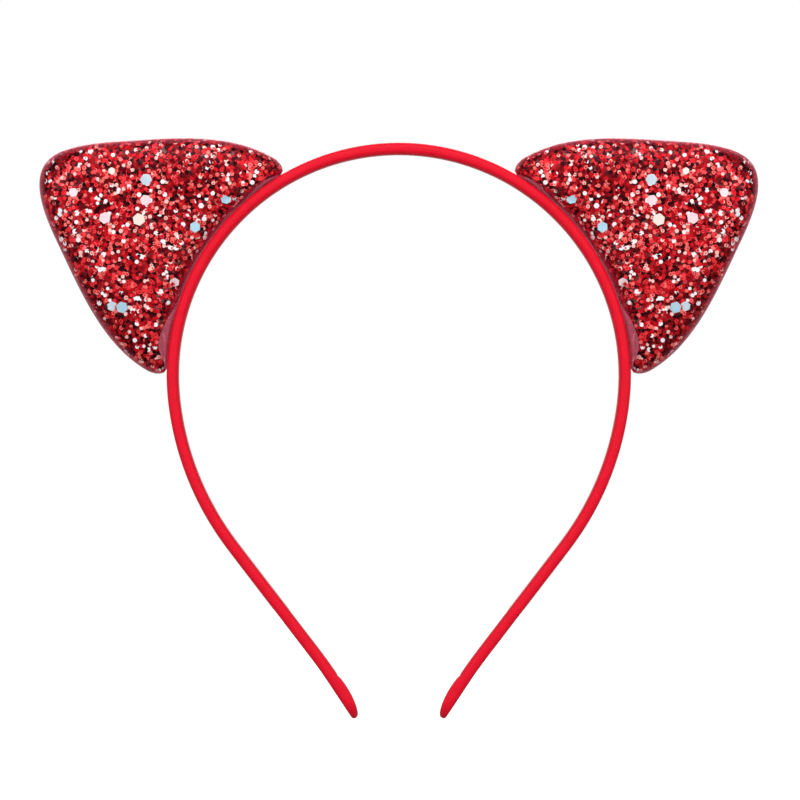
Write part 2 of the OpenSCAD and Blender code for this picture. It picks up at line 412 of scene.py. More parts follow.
@dataclass(frozen=True)
class Satin:
    """Glossy satin, woven with fine slanting floats that catch the light."""

    # A lit and a shaded copy of one red, mixed over the weave: painted sheen and shade.
    lit: tuple = (230, 6, 41)
    shaded: tuple = (205, 3, 29)
    thread_mm: float = 0.4
    slant: float = 38.0
    float_share: float = 0.6
    contrast: float = 1.3
    offset: float = -0.7

    def build(self) -> bpy.types.Material:
        """Floats are a slanted wave in the cloth's own UV, in millimetres; with soft noise along
        the band they mix the lit and the shaded red, a painted sheen and shade over the weave,
        and the noise creases the cloth as handling does.

        Returns:
            The satin material.
        """
        tree = new_tree("red_satin")
        shader = tree.principled(Roughness=0.45, Sheen_Weight=0.02, Sheen_Roughness=0.45,
                                 Specular_IOR_Level=0.14, Anisotropic=0.5)
        uv = tree.add("ShaderNodeUVMap", uv_map="UVMap")
        turn = tree.add("ShaderNodeMapping", Rotation=(0, 0, math.radians(self.slant)))
        tree.join(uv, 0, turn, "Vector")
        floats = tree.add("ShaderNodeTexWave", wave_type="BANDS", bands_direction="X",
                          Scale=WAVE_SCALE / self.thread_mm, Distortion=1.2, Detail=1.5,
                          Detail_Scale=2.0)
        tree.join(turn, 0, floats, "Vector")
        soft = tree.add("ShaderNodeTexNoise", Scale=0.35, Detail=3.0)
        tree.join(uv, 0, soft, "Vector")
        share = tree.add("ShaderNodeMath", operation="MULTIPLY_ADD")
        tree.join(floats, "Fac", share, 0)
        share.inputs[1].default_value = self.float_share
        tree.join(soft, "Fac", share, 2)
        shift = tree.add("ShaderNodeMath", operation="MULTIPLY_ADD", use_clamp=True)
        tree.join(share, 0, shift, 0)
        shift.inputs[1].default_value = self.contrast
        shift.inputs[2].default_value = self.offset
        # Painted sheen and shade: the floats and the noise mix the lit and the shaded red.
        tree.colour(shader, (self.lit, self.shaded), shift, 0)
        weave = tree.bump(shader, floats, "Fac", 0.5, 0.05)
        tree.bump(weave, soft, "Fac", 0.35, 0.4)
        return tree.finish(shader)


@dataclass(frozen=True)
class RibbedRibbon:
    """Grosgrain ribbon with close cross ribs."""

    # A lit and a shaded copy of the red: the ribs lit, the valleys in painted shade.
    lit: tuple = (222, 10, 38)
    shaded: tuple = (170, 4, 24)
    rib_mm: float = 0.55

    def build(self) -> bpy.types.Material:
        """Ribs are a wave along the ribbon's own UV; the valleys between them are painted darker,
        a painted shade.

        Returns:
            The ribbon material.
        """
        tree = new_tree("red_lining_ribbon")
        shader = tree.principled(Roughness=0.7, Sheen_Weight=0.25, Specular_IOR_Level=0.25)
        ribs = tree.add("ShaderNodeTexWave", wave_type="BANDS", bands_direction="X",
                        Scale=WAVE_SCALE / self.rib_mm, Distortion=0.3)
        tree.join(tree.add("ShaderNodeUVMap", uv_map="UVMap"), 0, ribs, "Vector")
        # Painted shade in the valleys between the ribs.
        tree.colour(shader, (self.shaded, self.lit), ribs)
        tree.bump(shader, ribs, "Fac", 0.5, 0.1)
        return tree.finish(shader)


@dataclass(frozen=True)
class SpringPlastic:
    """Moulded spring plastic with a faint grain and a slight gloss."""

    colour: tuple = (165, 14, 26)
    worn: tuple = (188, 34, 42)

    def build(self) -> bpy.types.Material:
        """Two scales of noise on Object coordinates: wide for colour, fine for the grain.

        Returns:
            The plastic material.
        """
        tree = new_tree("spring_plastic")
        shader = tree.principled(Roughness=0.35)
        wide = tree.on_object("ShaderNodeTexNoise", Scale=60)
        fine = tree.on_object("ShaderNodeTexNoise", Scale=2500)
        tree.colour(shader, (self.colour, self.worn), wide)
        tree.bump(shader, fine, "Fac", 0.15, 0.05)
        return tree.finish(shader)


@dataclass(frozen=True)
class Foam:
    """Cut foam sponge with open cells about half a millimetre across."""

    colour: tuple = (240, 234, 226)
    # The darker colour in the middle of each cell is painted shade.
    pore_shade_colour: tuple = (205, 194, 180)
    cell_mm: float = 0.6

    def build(self) -> bpy.types.Material:
        """Cells are Voronoi distances on Object coordinates, deeper in the middle and painted darker
        there, a painted shade in the pores.

        Returns:
            The foam material.
        """
        tree = new_tree("white_foam")
        shader = tree.principled(Roughness=0.9)
        cells = tree.on_object("ShaderNodeTexVoronoi", Scale=1 / (self.cell_mm * MM))
        # Painted shade: each cell is darker towards its middle.
        tree.colour(shader, (self.pore_shade_colour, self.colour), cells, "Distance")
        tree.bump(shader, cells, "Distance", 0.6, 0.2)
        return tree.finish(shader)


@dataclass(frozen=True)
class GlitterBacking:
    """The dark red knitted cloth that the flakes are glued to, wet-looking with glue."""

    light: tuple = (120, 10, 20)
    dark: tuple = (38, 2, 8)

    def build(self) -> bpy.types.Material:
        """Fine noise on Object coordinates mottles the cloth between dark and lighter red.

        Returns:
            The backing material.
        """
        tree = new_tree("glitter_backing")
        shader = tree.principled(Roughness=0.5, Coat_Weight=0.3, Coat_Roughness=0.2)
        grain = tree.on_object("ShaderNodeTexNoise", Scale=1400, Detail=2)
        tree.colour(shader, (self.dark, self.light), grain)
        tree.bump(shader, grain, "Fac", 0.5, 0.1)
        return tree.finish(shader)


@dataclass(frozen=True)
class FlakeFoil:
    """One colour of cut glitter foil, bright metal under a clear lacquer; the dim and pale
    colours are partly painted shade and painted reflection of tilted flakes.
    """

    name: str
    colour: tuple
    share: float
    metal: float = 0.55
    roughness: float = 0.3

    def build(self) -> bpy.types.Material:
        """Plain values only; the variety comes from thousands of tilted flakes and from the painted
        shade and reflection in the foil colours.

        Returns:
            The foil material.
        """
        tree = new_tree(self.name)
        return tree.finish(tree.principled(
            Base_Color=linear(*self.colour), Roughness=self.roughness, Metallic=self.metal,
            Coat_Weight=0.05, Coat_Roughness=0.12, Specular_IOR_Level=0.14))


@dataclass(frozen=True)
class ClearFilm:
    """Clear film: see-through face on, and a glossy pink haze where it turns away, a painted
    reflection.
    """

    name: str = "clear_film"
    # The haze colour is painted reflection, shown more where the film turns away.
    haze: tuple = (206, 54, 84)
    face_on: float = 0.0
    turned: float = 0.85
    clear_until: float = 0.26
    hazy_from: float = 0.95
    roughness: float = 0.22
    gloss: float = 0.5
    wrinkle_mm: float = 2.4

    def build(self) -> bpy.types.Material:
        """The painted pink reflection haze grows from the face-on share to the turned share with
        Layer Weight's facing, and noise on Object coordinates wrinkles the surface.

        Returns:
            The film material.
        """
        tree = new_tree(self.name)
        # Painted reflection: a pink base colour whose share grows as the film turns away.
        shader = tree.principled(
            Base_Color=linear(*self.haze), Roughness=self.roughness, Coat_Roughness=0.08,
            Specular_IOR_Level=self.gloss, Coat_Weight=self.gloss)
        ramp = tree.add("ShaderNodeMapRange", From_Min=self.clear_until, From_Max=self.hazy_from,
                        To_Min=self.face_on, To_Max=self.turned)
        tree.join(tree.add("ShaderNodeLayerWeight", Blend=0.5), "Facing", ramp, "Value")
        tree.join(ramp, "Result", shader, "Alpha")
        wrinkles = tree.on_object("ShaderNodeTexNoise", Scale=1 / (self.wrinkle_mm * MM))
        tree.bump(shader, wrinkles, "Fac", 0.4, 0.2)
        return tree.finish(shader)


@dataclass(frozen=True)
class PearlSequin:
    """A pale sequin with a soft pearl shimmer of two tints, the paler one a painted sheen."""

    name: str
    tint: tuple
    shimmer: tuple

    def build(self) -> bpy.types.Material:
        """Wide noise on Object coordinates drifts from one tint to the other, a painted sheen.

        Returns:
            The sequin material.
        """
        tree = new_tree(self.name)
        shader = tree.principled(Roughness=0.25, Metallic=0.2, Coat_Weight=0.6, Coat_Roughness=0.08)
        drift = tree.on_object("ShaderNodeTexNoise", Scale=420)
        # Painted sheen: the paler shimmer tint drifts over the sequin.
        tree.colour(shader, (self.tint, self.shimmer), drift)
        return tree.finish(shader)


# Partly the glitter's own reds and white flakes, partly painted light: the black cherry and maroon foils
# paint the shade of flakes tilted away, the bright red, coral, blush and frost foils paint their
# reflection and glints.
FLAKE_FOILS = (
    FlakeFoil("flake_black_cherry", (46, 2, 10), 0.17, metal=0.7),
    FlakeFoil("flake_maroon", (102, 3, 14), 0.17, metal=0.7),
    FlakeFoil("flake_deep_red", (160, 4, 20), 0.18),
    FlakeFoil("flake_red", (206, 12, 28), 0.16),
    FlakeFoil("flake_bright_red", (246, 54, 62), 0.14, metal=0.4),
    FlakeFoil("flake_coral", (255, 112, 108), 0.12, metal=0.3),
    FlakeFoil("flake_blush", (255, 206, 200), 0.05, metal=0.1),
    FlakeFoil("flake_frost", (250, 252, 255), 0.045, metal=0.0, roughness=0.2),
)
# How many of the foils, from the first, are dim, partly painted shade, and the place of the frost foil.
DIM_FOILS = 3
FROST = len(FLAKE_FOILS) - 1

SEQUIN_TINTS = (
    PearlSequin("sequin_ice_blue", (176, 218, 240), (240, 246, 250)),
    PearlSequin("sequin_rose_pearl", (248, 214, 228), (255, 240, 240)),
    PearlSequin("sequin_cream", (255, 240, 222), (255, 250, 244)),
    PearlSequin("sequin_sky", (150, 200, 226), (190, 226, 240)),
)


# ---- Band ----


@dataclass(frozen=True)
class BandPath:
    """The middle line of one half of the band, as a turn that varies along its length.

    Lengths are in millimetres along the line from the top of the crown.
    """

    head_r: float = 55.0
    band_t: float = 3.0
    crown_end: float = 96.0
    cheek_r: float = 71.5
    cheek_a: float = 31.5
    run_len: float = 35.0
    flare_r: float = 80.0
    flare_a: float = 4.0
    tip_len: float = 12.4
    ease: float = 7.0
    step: float = 0.05

    @property
    def mid_r(self) -> float:
        """Radius of the crown's middle line."""
        return self.head_r + self.band_t / 2

    def crown_length(self, angle: float) -> float:
        """Length along the middle line from the top to an angle in degrees on the crown."""
        return self.mid_r * math.radians(angle)

    @property
    def stretches(self) -> list[tuple[float, float]]:
        """The crown, cheek, straight run, flare and tip, in order.

        Returns:
            Each stretch's length, and its turn in radians for each millimetre.
        """
        cheek_mid = self.cheek_r + self.band_t / 2
        flare_mid = self.flare_r - self.band_t / 2
        return [
            (self.crown_length(self.crown_end), 1 / self.mid_r),
            (cheek_mid * math.radians(self.cheek_a), 1 / cheek_mid),
            (self.run_len, 0.0),
            (flare_mid * math.radians(self.flare_a), -1 / flare_mid),
            (self.tip_len, 0.0),
        ]

    @property
    def length(self) -> float:
        """The whole length of one half of the band."""
        return sum(length for length, _ in self.stretches)

    def frames(self, along: np.ndarray) -> tuple[np.ndarray, np.ndarray]:
        """Places and outward directions at given lengths along the middle line.

        The heading is the running sum of the turn, eased over a short window so that one
        stretch flows into the next; the place is the running sum of the heading's direction.

        Args:
            along: Lengths from the top of the crown.

        Returns:
            Places and unit outward normals in the X and Z plane, one row for each length.
        """
        ends = np.cumsum([length for length, _ in self.stretches])
        fine = np.arange(-self.ease, self.length + self.ease, self.step)
        turns = np.array([turn for _, turn in self.stretches])
        turn = turns[np.minimum(np.searchsorted(ends, fine), len(turns) - 1)]
        window = int(self.ease / self.step) | 1
        turn = np.convolve(np.pad(turn, window // 2, mode="edge"), np.ones(window) / window, "valid")
        heading = np.cumsum(turn) * self.step
        heading -= np.interp(0.0, fine, heading)
        x = np.cumsum(np.cos(heading)) * self.step
        z = np.cumsum(-np.sin(heading)) * self.step
        x -= np.interp(0.0, fine, x)
        z += self.mid_r - np.interp(0.0, fine, z)
        angle = np.interp(along, fine, heading)
        places = np.stack([np.interp(along, fine, x), np.interp(along, fine, z)], axis=-1)
        return places, np.stack([np.sin(angle), np.cos(angle)], axis=-1)

    def carry(self, along: np.ndarray, section: np.ndarray) -> np.ndarray:
        """Carries a section along the band.

        Args:
            along: Lengths from the top of the crown, one for each station.
            section: Points as (height above the head side, front to back), either the same
                for all stations or one set for each.

        Returns:
            Points as stations by section points by three.
        """
        places, outward = self.frames(along)
        if section.ndim == 2:
            section = np.broadcast_to(section, (len(along), *section.shape))
        height = section[..., 0] - self.band_t / 2
        x = places[:, None, 0] + outward[:, None, 0] * height
        z = places[:, None, 1] + outward[:, None, 1] * height
        return np.stack([x, section[..., 1], z], axis=-1)


# The largest share of a bar's half height or half width that a corner takes up.
MOST_ROUNDING = 0.98


def rounded_bar(low: np.ndarray, high: np.ndarray, half_width: np.ndarray,
                low_r: float, high_r: float, steps: int = 9) -> np.ndarray:
    """Sections of a bar with rounded corners, one for each station.

    Each corner is a quarter circle about a centre set in by its radius, and no radius is
    more than half of the bar's height or width there. The ring starts on the head side at
    the back, and goes over the back, the outside and the front.

    Args:
        low: Height of the head side at each station.
        high: Height of the outside at each station.
        half_width: Half of the width at each station.
        low_r: Radius of the two corners on the head side.
        high_r: Radius of the two outer corners.
        steps: Points on each corner.

    Returns:
        Stations by points by two: the height, and the place from front to back.
    """
    room = np.minimum((high - low) / 2, half_width) * MOST_ROUNDING
    turn = np.linspace(0, math.pi / 2, steps)[None]
    rings = []
    for quarter in range(4):
        radius = np.minimum(low_r if quarter in (0, 3) else high_r, room)[:, None]
        inside = low[:, None] + radius if quarter in (0, 3) else high[:, None] - radius
        back = 1 if quarter in (0, 1) else -1
        bearing = turn + quarter * math.pi / 2
        height = inside - radius * np.cos(bearing)
        across = back * (half_width[:, None] - radius) + radius * np.sin(bearing)
        rings.append(np.stack([height, across], axis=-1))
    return np.concatenate(rings, axis=1)


@dataclass
class Band:
    """The satin cover, the lining ribbon and the tip wraps of the whole band."""

    path: BandPath = field(default_factory=BandPath)
    half_width: float = 4.0
    satin_low: float = 0.26
    satin_t: float = 0.3
    low_r: float = 1.0
    high_r: float = 1.3
    hem_end: float = 2.2
    ribbon_t: float = 0.24
    ribbon_half: float = 3.1
    ribbon_flat: float = 2.3
    ribbon_lift: float = 0.09
    ribbon_lap: float = 0.8
    ribbon_points: int = 25
    station: float = 0.6
    seam_at: float = 60.0
    crown_flex: float = 15.0
    crown_bend: float = 13.0
    arm_flex: float = 96.0
    arm_bend: float = 13.0
    tip_bulge: float = 0.2
    tip_climb: float = 1.65
    tip_climb_from: float = 8.0
    tip_bow: float = 0.75
    swell_zone: tuple = (12.5, 8.0)
    seat_zone: tuple = (10.0, 12.0)
    nose: float = 0.85
    nose_lift: float = 0.6
    least_t: float = 0.1
    least_half: float = 0.05
    end_gap: float = 0.01
    fold_stations: tuple = (15, 14)
    point_gap: float = 0.55

    def stations(self, start: float, end: float) -> np.ndarray:
        """Evenly spaced lengths from start to end, about one station step apart."""
        return np.linspace(start, end, int(math.ceil((end - start) / self.station)) + 1)

    def satin_ring(self) -> np.ndarray:
        """The satin's section: round the outside from hem to hem, and back inside.

        Returns:
            One ring of points, as (height above the head side, front to back).
        """
        one = np.ones(1)
        outer = rounded_bar(self.satin_low * one, self.path.band_t * one, self.half_width * one,
                            self.low_r, self.high_r)[0]
        t = self.satin_t
        inner = rounded_bar((self.satin_low + t) * one, (self.path.band_t - t) * one,
                            (self.half_width - t) * one, self.low_r - t, self.high_r - t)[0]
        hems = np.array([[self.satin_low, self.hem_end], [self.satin_low, -self.hem_end]])
        inside = hems + [[t, 0], [t, 0]]
        return np.concatenate([hems[:1], outer, hems[1:], inside[1:], inner[::-1], inside[:1]])

    def swept(self, start: float, end: float, ring: np.ndarray) -> Surface:
        """Carries a thin folded ring along the band and closes its two ends.

        The ring's second half runs back inside the first, so each cut end is closed by
        quads between a point and its partner across the cloth.

        Args:
            start: Where the cloth starts, as a length from the top of the crown.
            end: Where it ends.
            ring: The section, with an even number of points.

        Returns:
            The closed surface, with UV along the band and round the ring, in millimetres.
        """
        along = self.stations(start, end)
        rows, columns = len(along), len(ring)
        points = self.path.carry(along, ring).reshape(-1, 3)
        quads = grid_quads(rows, columns)[:, ::-1]
        i = np.arange(columns // 2 - 1)
        first = np.stack([i, columns - 1 - i, columns - 2 - i, i + 1], axis=-1)[:, ::-1]
        last = first[:, ::-1] + (rows - 1) * columns
        faces = np.concatenate([quads, first, last])
        round_it = running(spacing(ring))
        uv = np.stack([np.repeat(along, columns), np.tile(round_it, rows)], axis=-1)
        return Surface(points, faces.ravel(), np.full(len(faces), 4), uv[faces.ravel()])

    def ribbon_ring(self) -> np.ndarray:
        """The lining's section: flat in the middle, with edges that lift with the satin.

        Returns:
            One ring of points, as (height above the head side, front to back).
        """
        across = np.linspace(-self.ribbon_half, self.ribbon_half, self.ribbon_points)
        lift = self.ribbon_lift * smoothstep(np.abs(across), self.ribbon_flat, self.ribbon_half)
        lower = np.stack([lift, across], axis=-1)
        upper = np.stack([lift + self.ribbon_t, across], axis=-1)
        return np.concatenate([lower[::-1], upper])

    def tip_rings(self, inset: float, along: np.ndarray) -> np.ndarray:
        """Sections of the wrapped tip, with the end rounded both ways.

        Towards the end the half width follows a circle of its own size, the head side
        swells a little and then climbs along a wide arc, and the outside rounds over.

        Args:
            inset: How far the surface lies inside the outer face of the wrap.
            along: Lengths from the top of the crown.

        Returns:
            Stations by points by two.
        """
        left = self.path.length - inset - along
        swell = self.tip_bulge * smoothstep(left, *self.swell_zone)
        climbed = np.maximum(self.tip_climb_from - left, 0) / self.tip_climb_from
        rise = 2 * self.tip_climb * (1 - np.sqrt(1 - self.tip_bow * climbed**2))
        low = self.satin_low * smoothstep(left, *self.seat_zone) - swell + rise + inset
        nose = self.nose
        drop = nose - np.sqrt(np.clip(nose**2 - np.maximum(nose - left, 0) ** 2, 0, None))
        high = self.path.band_t - inset - drop
        full = self.half_width - inset
        half = np.sqrt(np.clip(full**2 - np.maximum(full - left, 0) ** 2, self.least_half**2, None))
        low = np.minimum(low + drop * self.nose_lift, high - self.least_t)
        return rounded_bar(low, high, half, self.low_r, self.high_r)

    def tip_wrap(self) -> Surface:
        """The satin folded over the tip.

        Its rings run along the inner skin from the round end to the open rim, and back along
        the outer skin. The stations crowd towards the end with the sine of a quarter turn.

        Returns:
            The closed fold, with UV along the band and round it, in millimetres.
        """
        length = self.path.length
        start, round_from = length - self.path.tip_len, length - self.half_width
        t = self.satin_t
        straight, rounded = self.fold_stations
        bearing = np.linspace(0, math.pi / 2, rounded)
        outer_at = np.concatenate([
            np.linspace(start, round_from, straight)[:-1],
            round_from + self.half_width * np.sin(bearing[:-1])])
        inner_at = np.minimum(outer_at, length - t - self.end_gap)
        outer = self.path.carry(outer_at, self.tip_rings(0.0, outer_at))
        inner = self.path.carry(inner_at, self.tip_rings(t, inner_at))
        rings = np.concatenate([inner[::-1], outer])
        inner_pole = inner[-1].mean(axis=0)
        outer_pole = outer[-1].mean(axis=0)
        surface = tube(rings[:, ::-1], inner_pole, outer_pole)
        ring_uv = np.concatenate([inner_at[::-1], outer_at])
        columns = rings.shape[1]
        round_uv = np.tile(np.arange(columns) * self.point_gap, len(ring_uv))
        grid = np.stack([np.repeat(ring_uv, columns), round_uv], axis=-1)
        poles = np.array([[length, 0.0], [length, 0.0]])
        surface.uv = np.concatenate([grid, poles])[surface.corners]
        return surface

    def bend_ends(self, side: Side, angle: float, reach: float) -> tuple[Vector, Vector]:
        """The two ends of a zone that reaches both ways along the band from a flex line.

        Args:
            side: The half of the headband.
            angle: The flex line's angle from the top of the crown, in degrees.
            reach: How far the zone reaches each way along the band, in millimetres.

        Returns:
            Its start and end, in metres.
        """
        middle = self.path.crown_length(angle)
        places, _ = self.path.frames(np.array([middle - reach, middle + reach]))
        return tuple(Vector((side.value * x, 0.0, z)) * MM for x, z in places)

    def build(self) -> None:
        """Makes both halves: upper and lower satin, upper and lower lining, and tip wraps."""
        satin = Satin().build()
        ribbon = RibbedRibbon().build()
        plastic = SpringPlastic().build()
        for name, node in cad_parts.items():
            if name.endswith("_core"):
                node.data.materials.clear()
                node.data.materials.append(plastic)
        seam = self.path.crown_length(self.seam_at)
        tip = self.path.length - self.path.tip_len
        for side in Side:
            self.cover_half(side, satin, ribbon, seam, tip)

    def cover_half(self, side: Side, satin: bpy.types.Material, ribbon: bpy.types.Material,
                   seam: float, tip: float) -> None:
        """Makes one half of the cloth, as an upper and a lower length either side of a seam.

        Args:
            side: The half to make.
            satin: The cover's material.
            ribbon: The lining's material.
            seam: Length from the top to the seam that the ear's base hides.
            tip: Length from the top to the start of the tip wrap.
        """
        label = side.label
        upper = ("upper", 0.0, seam, 0.0, "crown", f"{label}_side", self.crown_flex, self.crown_bend)
        lower = ("lower", seam, tip, self.ribbon_lap, f"{label}_side", f"{label}_arm",
                 self.arm_flex, self.arm_bend)
        for word, start, end, lap, body, next_body, angle, reach in (upper, lower):
            cover = self.swept(start, end, self.satin_ring()).mirrored(side).to_object(
                f"{label}_{word}_satin", [satin])
            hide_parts(f"{next_body}_satin_cover", f"{body}_satin_cover")
            zone = self.bend_ends(side, angle, reach)
            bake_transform(cover)
            lining = self.swept(start, end + lap, self.ribbon_ring()).mirrored(side).to_object(
                f"{label}_{word}_lining", [ribbon])
            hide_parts(f"{next_body}_lining_ribbon", f"{body}_lining_ribbon")
            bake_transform(lining)
            LOG.info("band: %s %s satin and lining", label, word)
        wrap = self.tip_wrap().mirrored(side).to_object(f"{label}_tip_fold", [satin], SMOOTH_EDGE)
        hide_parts(f"{label}_tip_wrap")
        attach(wrap, f"{label}_arm")
        LOG.info("band: %s tip fold", label)


# ---- Ears ----


def bezier(a: np.ndarray, b: np.ndarray, c: np.ndarray, d: np.ndarray, count: int) -> np.ndarray:
    """Points on a cubic curve: a(1-t)^3 + 3bt(1-t)^2 + 3ct^2(1-t) + dt^3, without the last."""
    t = np.linspace(0, 1, count, endpoint=False)[:, None]
    return a * (1 - t) ** 3 + 3 * b * t * (1 - t) ** 2 + 3 * c * t * t * (1 - t) + d * t**3


@dataclass(frozen=True)
class EarShape:
    """The ear's outline and its padded surface, in millimetres.

    Across is measured from the ear's middle line, outwards from the crown's centre, and
    depth towards the viewer.
    """

    lean: float = 30.5
    tip_at: float = 103.0
    half_w: float = 31.0
    wide_at: float = 55.0
    middle: float = 74.0
    half_t: float = 6.0
    flatness: float = 6.0
    base_a: float = 29.0
    base_r: float = 58.12
    rim_share: float = 0.35
    around: int = 180
    corner_pull: float = 1.5
    shoulder_pulls: tuple = (2.6, 13.0)
    flank_at: tuple = (0.475, 12.5)
    flank_slope: float = 34.0
    flank_pulls: tuple = (12.8, 6.6)
    tip_pull: float = 5.8
    mean_reach: float = 30.0

    @property
    def centre(self) -> np.ndarray:
        """The middle of the padding."""
        return np.array([0.0, self.middle])

    def outline(self) -> np.ndarray:
        """The outline, from the middle of the base round by the far corner, evenly spaced.

        The base is an arc on the band's circle, each base corner one cubic curve, each
        side one cubic curve to the flank and one more round the tip.

        Returns:
            Points as (across, outwards), without the first repeated.
        """
        a = math.radians(self.base_a)
        arc = np.linspace(0, a, 40, endpoint=False)
        base = self.base_r * np.stack([np.sin(arc), np.cos(arc)], axis=-1)
        corner = self.base_r * np.array([math.sin(a), math.cos(a)])
        shoulder = np.array([self.half_w, self.wide_at])
        flank = np.array([self.flank_at[0] * self.half_w, self.tip_at - self.flank_at[1]])
        steep = math.radians(self.flank_slope)
        slope = np.array([math.sin(steep), -math.cos(steep)])
        tip = np.array([0.0, self.tip_at])
        half = np.concatenate([
            base,
            bezier(corner, corner + self.corner_pull * np.array([math.cos(a), -math.sin(a)]),
                   shoulder - [0, self.shoulder_pulls[0]], shoulder, 40),
            bezier(shoulder, shoulder + [0, self.shoulder_pulls[1]],
                   flank + self.flank_pulls[0] * slope, flank, 60),
            bezier(flank, flank - self.flank_pulls[1] * slope, tip + [self.tip_pull, 0], tip, 60),
            tip[None],
        ])
        whole = np.concatenate([half, half[-2:0:-1] * [-1, 1], half[:1]])
        run = running(spacing(whole))
        even = np.linspace(0, run[-1], self.around, endpoint=False)
        return np.stack([np.interp(even, run, whole[:, 0]), np.interp(even, run, whole[:, 1])], axis=-1)

    def inset(self, depth: float) -> np.ndarray:
        """Moves the outline inwards along its own normals.

        Args:
            depth: How far to move it.

        Returns:
            The moved outline.
        """
        line = self.outline()
        along = np.roll(line, -1, axis=0) - np.roll(line, 1, axis=0)
        along = unit(along)
        return line - depth * np.stack([along[:, 1], -along[:, 0]], axis=-1)

    def profile(self, rings: int) -> tuple[np.ndarray, np.ndarray]:
        """How the padded surface falls from the middle to the rim, evenly along its slope.

        The share of the way out is sin(q)^(2/flatness) and the height is cos(q), as q goes
        from 0 to a quarter turn.

        Args:
            rings: How many rings lie between the middle and the rim.

        Returns:
            The share of the way out and the share of the height, the middle left out.
        """
        q = np.linspace(0, math.pi / 2, 2000)
        out, up = np.sin(q) ** (2 / self.flatness), np.cos(q)
        run = running(np.hypot(np.diff(out) * self.mean_reach, np.diff(up) * self.half_t))
        even = np.linspace(0, run[-1], rings + 1)[1:]
        return np.interp(even, run, out), np.interp(even, run, up)

    def pad(self, inset: float, rings: int) -> np.ndarray:
        """Rings of the padded surface from near the middle to the rim.

        The layers are drawn tight at the rim, where only a share of the inset is left.

        Args:
            inset: How far the surface lies below the ear's outer face.
            rings: How many rings to make.

        Returns:
            Rings by points by three, as (across, outwards, depth).
        """
        out, up = self.profile(rings)
        line = self.inset(inset * self.rim_share) - self.centre
        flat = self.centre + out[:, None, None] * line[None]
        depth = np.broadcast_to((up * (self.half_t - inset))[:, None, None], (*flat.shape[:2], 1))
        return np.concatenate([flat, depth], axis=-1)

    def pole(self, inset: float) -> np.ndarray:
        """The middle of the padded surface at an inset."""
        return np.array([0.0, self.middle, self.half_t - inset])

    def upright(self, points: np.ndarray, face: Face = Face.FRONT) -> np.ndarray:
        """Leans the ear out to its place on the right of the band and stands it up.

        Args:
            points: (across, outwards, depth) for the front face.
            face: Which face the points are for.

        Returns:
            (x, y, z) in millimetres in the headband's frame.
        """
        turn = math.radians(self.lean - TOP_OF_CROWN)
        x = points[..., 0] * math.cos(turn) - points[..., 1] * math.sin(turn)
        z = points[..., 0] * math.sin(turn) + points[..., 1] * math.cos(turn)
        return np.stack([x, -face.value * points[..., 2], z], axis=-1)


# Each sequin's place across and outwards, its corner radius and its tint.
FRONT_SEQUINS = (
    (-10, 79, 1.5, 0), (-5.5, 76.5, 1.4, 1), (-0.5, 75.5, 1.6, 2), (3.5, 83, 1.5, 1),
    (-16, 59.5, 1.4, 3), (-6, 62.5, 1.4, 3), (2, 93, 1.2, 1), (20.5, 68, 1.5, 3),
    (21.5, 70.3, 1.3, 0), (8.5, 60, 1.3, 1), (-7.5, 87.5, 0.9, 2),
)
BACK_SEQUINS = (
    (6, 88, 1.5, 0), (12, 72, 1.4, 1), (19, 62, 1.5, 2), (-5, 80, 1.5, 3),
    (-16, 66, 1.4, 0), (-8, 63, 1.5, 1), (6, 64, 1.3, 3), (-2, 92, 1.2, 2),
)
# The first and second power of 1/p, where p is the real root of p^3 = p + 1.
EVEN_STEPS = (0.7548776662466927, 0.5698402909980532)
# Added so that no cross product and no sign is zero.
NUDGE = 1e-9
SIGN_NUDGE = 1e-12
# The film's puckers round the rim: how many, how far round they start, and how high.
PUCKERS = ((9, 0.7, 1.0), (17, 2.0, 0.7), (31, 0.0, 0.5))


